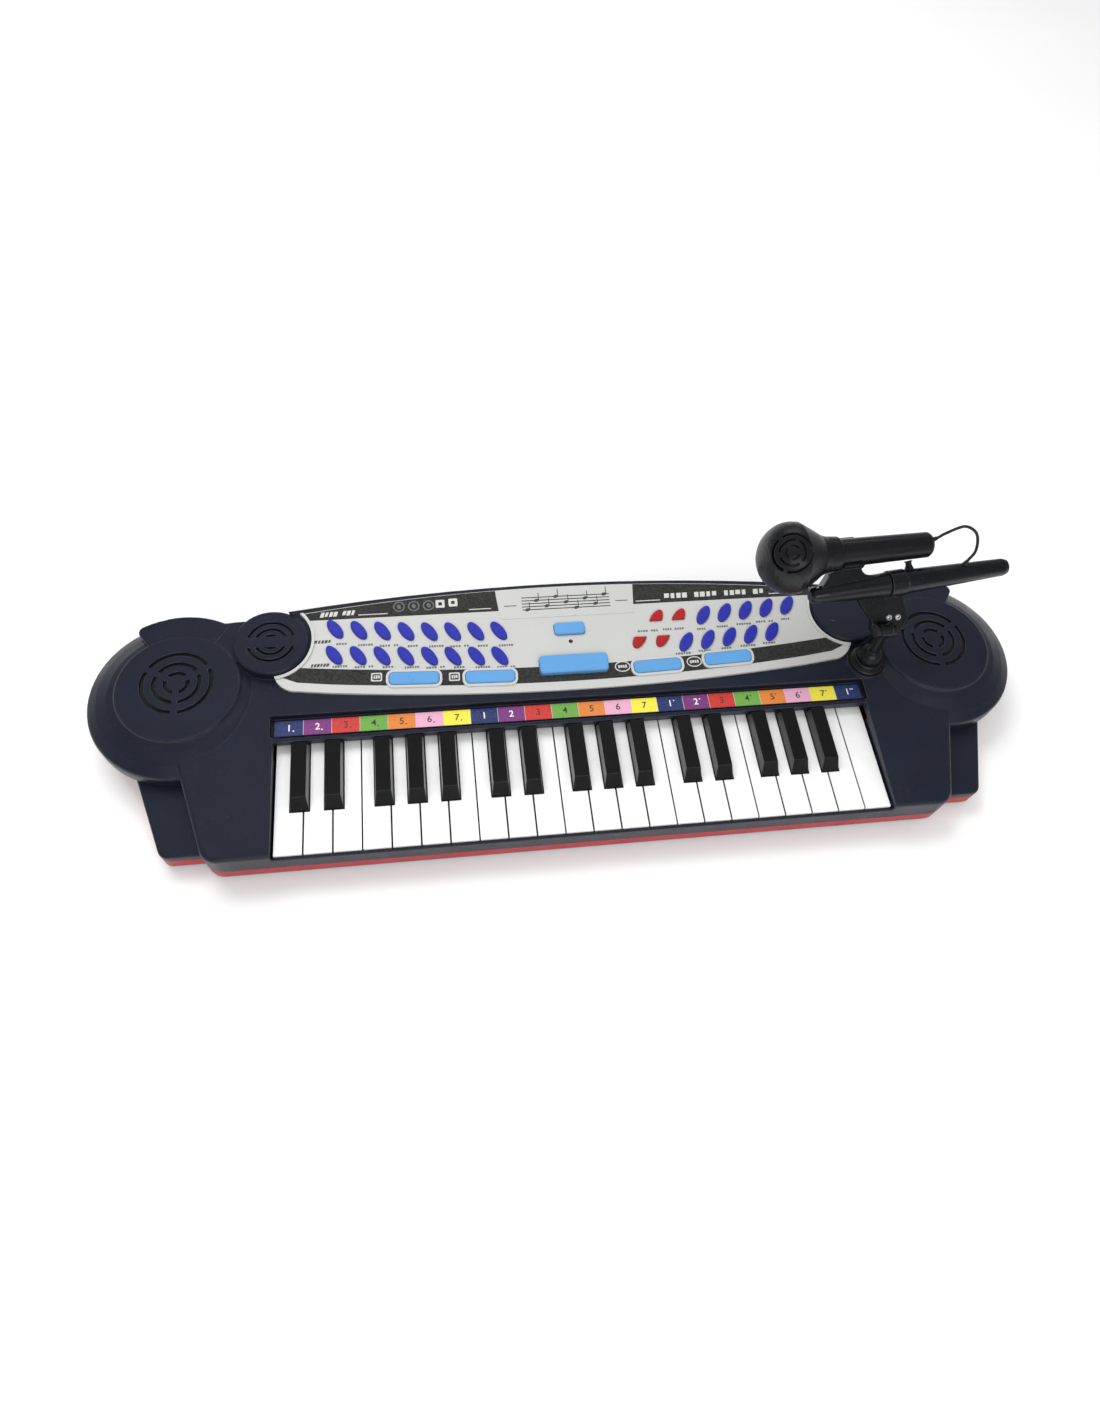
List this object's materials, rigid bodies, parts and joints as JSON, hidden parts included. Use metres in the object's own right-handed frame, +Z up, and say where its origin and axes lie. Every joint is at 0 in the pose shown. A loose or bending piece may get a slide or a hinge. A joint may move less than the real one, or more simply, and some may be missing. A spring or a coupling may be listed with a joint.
{
  "type": "toy electronic keyboard",
  "caption": "Wide toy electronic keyboard with hinged mini keys, sloping button panel, round speaker pods and a microphone on a jointed stand.",
  "frame": {"origin": "table plane, under the rubber foot in the middle of the case", "axes": "+X to the player's right along the keys, +Y away from the player, +Z up"},
  "size_m": [0.7252, 0.2042, 0.1529],
  "materials": {
    "casing": "satin moulded",
    "red_base": "semi gloss",
    "silver_panel": "satin painted silver grey",
    "strip_print": "printed",
    "blue_rubber": "satin",
    "red_rubber": "satin",
    "sky_plastic": "semi gloss",
    "board": "matt",
    "clear_rubber": "matt",
    "speaker_black": "matt",
    "steel": "plated",
    "foot_rubber": "matt",
    "stand_black": "satin",
    "mic_black": "satin",
    "cable": "satin",
    "white_key": "glossy",
    "black_key": "glossy"
  },
  "bodies": {
    "case": {"top_case": "casing", "bottom_case": "red_base", "control_panel": "silver_panel", "note_strip": "strip_print", "circuit_boards": "board", "contact_strip": "clear_rubber", "speaker_drivers": "speaker_black", "case_screws": "steel", "rubber_feet": "foot_rubber"},
    "stand_base": {"mic_stand_base": "stand_black"},
    "lower_arm": {"mic_lower_arm": "stand_black"},
    "bracket": {"mic_bracket": "stand_black"},
    "boom": {"mic_boom": "stand_black"},
    "microphone": {"mic_handle": "mic_black", "mic_head": "mic_black", "mic_cable": "cable"},
    "start_cap": {"start_button": "sky_plastic"},
    "power_cap": {"power_button": "sky_plastic"},
    "mode_caps": {"mode_buttons": "sky_plastic"},
    "left_pad": {"blue_keypad_left": "blue_rubber"},
    "right_pad": {"blue_keypad_right": "blue_rubber"},
    "red_pad": {"red_keypad": "red_rubber"},
    "battery_cover": {"battery_door": "red_base"},
    "white_01": {"white_key_01": "white_key"},
    "white_02": {"white_key_02": "white_key"},
    "white_03": {"white_key_03": "white_key"},
    "white_04": {"white_key_04": "white_key"},
    "white_05": {"white_key_05": "white_key"},
    "white_06": {"white_key_06": "white_key"},
    "white_07": {"white_key_07": "white_key"},
    "white_08": {"white_key_08": "white_key"},
    "white_09": {"white_key_09": "white_key"},
    "white_10": {"white_key_10": "white_key"},
    "white_11": {"white_key_11": "white_key"},
    "white_12": {"white_key_12": "white_key"},
    "white_13": {"white_key_13": "white_key"},
    "white_14": {"white_key_14": "white_key"},
    "white_15": {"white_key_15": "white_key"},
    "white_16": {"white_key_16": "white_key"},
    "white_17": {"white_key_17": "white_key"},
    "white_18": {"white_key_18": "white_key"},
    "white_19": {"white_key_19": "white_key"},
    "white_20": {"white_key_20": "white_key"},
    "white_21": {"white_key_21": "white_key"},
    "white_22": {"white_key_22": "white_key"},
    "black_01": {"black_key_01": "black_key"},
    "black_02": {"black_key_02": "black_key"},
    "black_03": {"black_key_03": "black_key"},
    "black_04": {"black_key_04": "black_key"},
    "black_05": {"black_key_05": "black_key"},
    "black_06": {"black_key_06": "black_key"},
    "black_07": {"black_key_07": "black_key"},
    "black_08": {"black_key_08": "black_key"},
    "black_09": {"black_key_09": "black_key"},
    "black_10": {"black_key_10": "black_key"},
    "black_11": {"black_key_11": "black_key"},
    "black_12": {"black_key_12": "black_key"},
    "black_13": {"black_key_13": "black_key"},
    "black_14": {"black_key_14": "black_key"},
    "black_15": {"black_key_15": "black_key"}
  },
  "joints": [
    {"name": "stand_swivel", "type": "hinge", "parent": "case", "child": "stand_base", "pos_m": [0.23534, 0.02451, 0.05], "axis": [0, 0, 1], "range_deg": [-25, 25]},
    {"name": "arm_tilt", "type": "hinge", "parent": "stand_base", "child": "lower_arm", "pos_m": [0.23534, 0.02451, 0.05], "axis": [1, 0, 0], "range_deg": [-12, 12]},
    {"name": "elbow_tilt", "type": "hinge", "parent": "lower_arm", "child": "bracket", "pos_m": [0.23534, 0.02652, 0.082], "axis": [1, 0, 0], "range_deg": [-15, 15]},
    {"name": "boom_roll", "type": "hinge", "parent": "bracket", "child": "boom", "pos_m": [0.23734, 0.04872, 0.112], "axis": [0.9956, 0.0836, 0.0419], "range_deg": [-12, 12]},
    {"name": "mic_lift", "type": "slide", "parent": "boom", "child": "microphone", "axis": [0, 0, 1], "range_m": [0, 0.06], "deforming": ["mic_cable"]},
    {"name": "start_press", "type": "slide", "parent": "case", "child": "start_cap", "axis": [0, 0.1253, -0.9921], "range_m": [0, 0.0012], "stiffness_N_per_m": 400, "springref_m": -0.003},
    {"name": "power_press", "type": "slide", "parent": "case", "child": "power_cap", "axis": [0, 0.1253, -0.9921], "range_m": [0, 0.0012], "stiffness_N_per_m": 400, "springref_m": -0.003},
    {"name": "mode_press", "type": "slide", "parent": "case", "child": "mode_caps", "axis": [0, 0.1253, -0.9921], "range_m": [0, 0.0012], "stiffness_N_per_m": 400, "springref_m": -0.003},
    {"name": "left_keypad_press", "type": "slide", "parent": "case", "child": "left_pad", "axis": [0, 0.1253, -0.9921], "range_m": [0, 0.0012], "stiffness_N_per_m": 400, "springref_m": -0.003},
    {"name": "right_keypad_press", "type": "slide", "parent": "case", "child": "right_pad", "axis": [0, 0.1253, -0.9921], "range_m": [0, 0.0012], "stiffness_N_per_m": 400, "springref_m": -0.003},
    {"name": "red_keypad_press", "type": "slide", "parent": "case", "child": "red_pad", "axis": [0, 0.1253, -0.9921], "range_m": [0, 0.0012], "stiffness_N_per_m": 400, "springref_m": -0.003},
    {"name": "battery_door_lift", "type": "slide", "parent": "case", "child": "battery_cover", "axis": [0, 0, -1], "range_m": [0, 0.03]},
    {"name": "white_01_press", "type": "hinge", "parent": "case", "child": "white_01", "pos_m": [0, 0.0239, 0.02], "axis": [1, 0, 0], "range_deg": [0, 2.2], "stiffness_Nm_per_rad": 0.3, "springref_deg": -8.59},
    {"name": "white_02_press", "type": "hinge", "parent": "case", "child": "white_02", "pos_m": [0, 0.0239, 0.02], "axis": [1, 0, 0], "range_deg": [0, 2.2], "stiffness_Nm_per_rad": 0.3, "springref_deg": -8.59},
    {"name": "white_03_press", "type": "hinge", "parent": "case", "child": "white_03", "pos_m": [0, 0.0239, 0.02], "axis": [1, 0, 0], "range_deg": [0, 2.2], "stiffness_Nm_per_rad": 0.3, "springref_deg": -8.59},
    {"name": "white_04_press", "type": "hinge", "parent": "case", "child": "white_04", "pos_m": [0, 0.0239, 0.02], "axis": [1, 0, 0], "range_deg": [0, 2.2], "stiffness_Nm_per_rad": 0.3, "springref_deg": -8.59},
    {"name": "white_05_press", "type": "hinge", "parent": "case", "child": "white_05", "pos_m": [0, 0.0239, 0.02], "axis": [1, 0, 0], "range_deg": [0, 2.2], "stiffness_Nm_per_rad": 0.3, "springref_deg": -8.59},
    {"name": "white_06_press", "type": "hinge", "parent": "case", "child": "white_06", "pos_m": [0, 0.0239, 0.02], "axis": [1, 0, 0], "range_deg": [0, 2.2], "stiffness_Nm_per_rad": 0.3, "springref_deg": -8.59},
    {"name": "white_07_press", "type": "hinge", "parent": "case", "child": "white_07", "pos_m": [0, 0.0239, 0.02], "axis": [1, 0, 0], "range_deg": [0, 2.2], "stiffness_Nm_per_rad": 0.3, "springref_deg": -8.59},
    {"name": "white_08_press", "type": "hinge", "parent": "case", "child": "white_08", "pos_m": [0, 0.0239, 0.02], "axis": [1, 0, 0], "range_deg": [0, 2.2], "stiffness_Nm_per_rad": 0.3, "springref_deg": -8.59},
    {"name": "white_09_press", "type": "hinge", "parent": "case", "child": "white_09", "pos_m": [0, 0.0239, 0.02], "axis": [1, 0, 0], "range_deg": [0, 2.2], "stiffness_Nm_per_rad": 0.3, "springref_deg": -8.59},
    {"name": "white_10_press", "type": "hinge", "parent": "case", "child": "white_10", "pos_m": [0, 0.0239, 0.02], "axis": [1, 0, 0], "range_deg": [0, 2.2], "stiffness_Nm_per_rad": 0.3, "springref_deg": -8.59},
    {"name": "white_11_press", "type": "hinge", "parent": "case", "child": "white_11", "pos_m": [0, 0.0239, 0.02], "axis": [1, 0, 0], "range_deg": [0, 2.2], "stiffness_Nm_per_rad": 0.3, "springref_deg": -8.59},
    {"name": "white_12_press", "type": "hinge", "parent": "case", "child": "white_12", "pos_m": [0, 0.0239, 0.02], "axis": [1, 0, 0], "range_deg": [0, 2.2], "stiffness_Nm_per_rad": 0.3, "springref_deg": -8.59},
    {"name": "white_13_press", "type": "hinge", "parent": "case", "child": "white_13", "pos_m": [0, 0.0239, 0.02], "axis": [1, 0, 0], "range_deg": [0, 2.2], "stiffness_Nm_per_rad": 0.3, "springref_deg": -8.59},
    {"name": "white_14_press", "type": "hinge", "parent": "case", "child": "white_14", "pos_m": [0, 0.0239, 0.02], "axis": [1, 0, 0], "range_deg": [0, 2.2], "stiffness_Nm_per_rad": 0.3, "springref_deg": -8.59},
    {"name": "white_15_press", "type": "hinge", "parent": "case", "child": "white_15", "pos_m": [0, 0.0239, 0.02], "axis": [1, 0, 0], "range_deg": [0, 2.2], "stiffness_Nm_per_rad": 0.3, "springref_deg": -8.59},
    {"name": "white_16_press", "type": "hinge", "parent": "case", "child": "white_16", "pos_m": [0, 0.0239, 0.02], "axis": [1, 0, 0], "range_deg": [0, 2.2], "stiffness_Nm_per_rad": 0.3, "springref_deg": -8.59},
    {"name": "white_17_press", "type": "hinge", "parent": "case", "child": "white_17", "pos_m": [0, 0.0239, 0.02], "axis": [1, 0, 0], "range_deg": [0, 2.2], "stiffness_Nm_per_rad": 0.3, "springref_deg": -8.59},
    {"name": "white_18_press", "type": "hinge", "parent": "case", "child": "white_18", "pos_m": [0, 0.0239, 0.02], "axis": [1, 0, 0], "range_deg": [0, 2.2], "stiffness_Nm_per_rad": 0.3, "springref_deg": -8.59},
    {"name": "white_19_press", "type": "hinge", "parent": "case", "child": "white_19", "pos_m": [0, 0.0239, 0.02], "axis": [1, 0, 0], "range_deg": [0, 2.2], "stiffness_Nm_per_rad": 0.3, "springref_deg": -8.59},
    {"name": "white_20_press", "type": "hinge", "parent": "case", "child": "white_20", "pos_m": [0, 0.0239, 0.02], "axis": [1, 0, 0], "range_deg": [0, 2.2], "stiffness_Nm_per_rad": 0.3, "springref_deg": -8.59},
    {"name": "white_21_press", "type": "hinge", "parent": "case", "child": "white_21", "pos_m": [0, 0.0239, 0.02], "axis": [1, 0, 0], "range_deg": [0, 2.2], "stiffness_Nm_per_rad": 0.3, "springref_deg": -8.59},
    {"name": "white_22_press", "type": "hinge", "parent": "case", "child": "white_22", "pos_m": [0, 0.0239, 0.02], "axis": [1, 0, 0], "range_deg": [0, 2.2], "stiffness_Nm_per_rad": 0.3, "springref_deg": -8.59},
    {"name": "black_01_press", "type": "hinge", "parent": "case", "child": "black_01", "pos_m": [0, 0.0239, 0.02], "axis": [1, 0, 0], "range_deg": [0, 2.6], "stiffness_Nm_per_rad": 0.3, "springref_deg": -8.59},
    {"name": "black_02_press", "type": "hinge", "parent": "case", "child": "black_02", "pos_m": [0, 0.0239, 0.02], "axis": [1, 0, 0], "range_deg": [0, 2.6], "stiffness_Nm_per_rad": 0.3, "springref_deg": -8.59},
    {"name": "black_03_press", "type": "hinge", "parent": "case", "child": "black_03", "pos_m": [0, 0.0239, 0.02], "axis": [1, 0, 0], "range_deg": [0, 2.6], "stiffness_Nm_per_rad": 0.3, "springref_deg": -8.59},
    {"name": "black_04_press", "type": "hinge", "parent": "case", "child": "black_04", "pos_m": [0, 0.0239, 0.02], "axis": [1, 0, 0], "range_deg": [0, 2.6], "stiffness_Nm_per_rad": 0.3, "springref_deg": -8.59},
    {"name": "black_05_press", "type": "hinge", "parent": "case", "child": "black_05", "pos_m": [0, 0.0239, 0.02], "axis": [1, 0, 0], "range_deg": [0, 2.6], "stiffness_Nm_per_rad": 0.3, "springref_deg": -8.59},
    {"name": "black_06_press", "type": "hinge", "parent": "case", "child": "black_06", "pos_m": [0, 0.0239, 0.02], "axis": [1, 0, 0], "range_deg": [0, 2.6], "stiffness_Nm_per_rad": 0.3, "springref_deg": -8.59},
    {"name": "black_07_press", "type": "hinge", "parent": "case", "child": "black_07", "pos_m": [0, 0.0239, 0.02], "axis": [1, 0, 0], "range_deg": [0, 2.6], "stiffness_Nm_per_rad": 0.3, "springref_deg": -8.59},
    {"name": "black_08_press", "type": "hinge", "parent": "case", "child": "black_08", "pos_m": [0, 0.0239, 0.02], "axis": [1, 0, 0], "range_deg": [0, 2.6], "stiffness_Nm_per_rad": 0.3, "springref_deg": -8.59},
    {"name": "black_09_press", "type": "hinge", "parent": "case", "child": "black_09", "pos_m": [0, 0.0239, 0.02], "axis": [1, 0, 0], "range_deg": [0, 2.6], "stiffness_Nm_per_rad": 0.3, "springref_deg": -8.59},
    {"name": "black_10_press", "type": "hinge", "parent": "case", "child": "black_10", "pos_m": [0, 0.0239, 0.02], "axis": [1, 0, 0], "range_deg": [0, 2.6], "stiffness_Nm_per_rad": 0.3, "springref_deg": -8.59},
    {"name": "black_11_press", "type": "hinge", "parent": "case", "child": "black_11", "pos_m": [0, 0.0239, 0.02], "axis": [1, 0, 0], "range_deg": [0, 2.6], "stiffness_Nm_per_rad": 0.3, "springref_deg": -8.59},
    {"name": "black_12_press", "type": "hinge", "parent": "case", "child": "black_12", "pos_m": [0, 0.0239, 0.02], "axis": [1, 0, 0], "range_deg": [0, 2.6], "stiffness_Nm_per_rad": 0.3, "springref_deg": -8.59},
    {"name": "black_13_press", "type": "hinge", "parent": "case", "child": "black_13", "pos_m": [0, 0.0239, 0.02], "axis": [1, 0, 0], "range_deg": [0, 2.6], "stiffness_Nm_per_rad": 0.3, "springref_deg": -8.59},
    {"name": "black_14_press", "type": "hinge", "parent": "case", "child": "black_14", "pos_m": [0, 0.0239, 0.02], "axis": [1, 0, 0], "range_deg": [0, 2.6], "stiffness_Nm_per_rad": 0.3, "springref_deg": -8.59},
    {"name": "black_15_press", "type": "hinge", "parent": "case", "child": "black_15", "pos_m": [0, 0.0239, 0.02], "axis": [1, 0, 0], "range_deg": [0, 2.6], "stiffness_Nm_per_rad": 0.3, "springref_deg": -8.59}
  ]
}
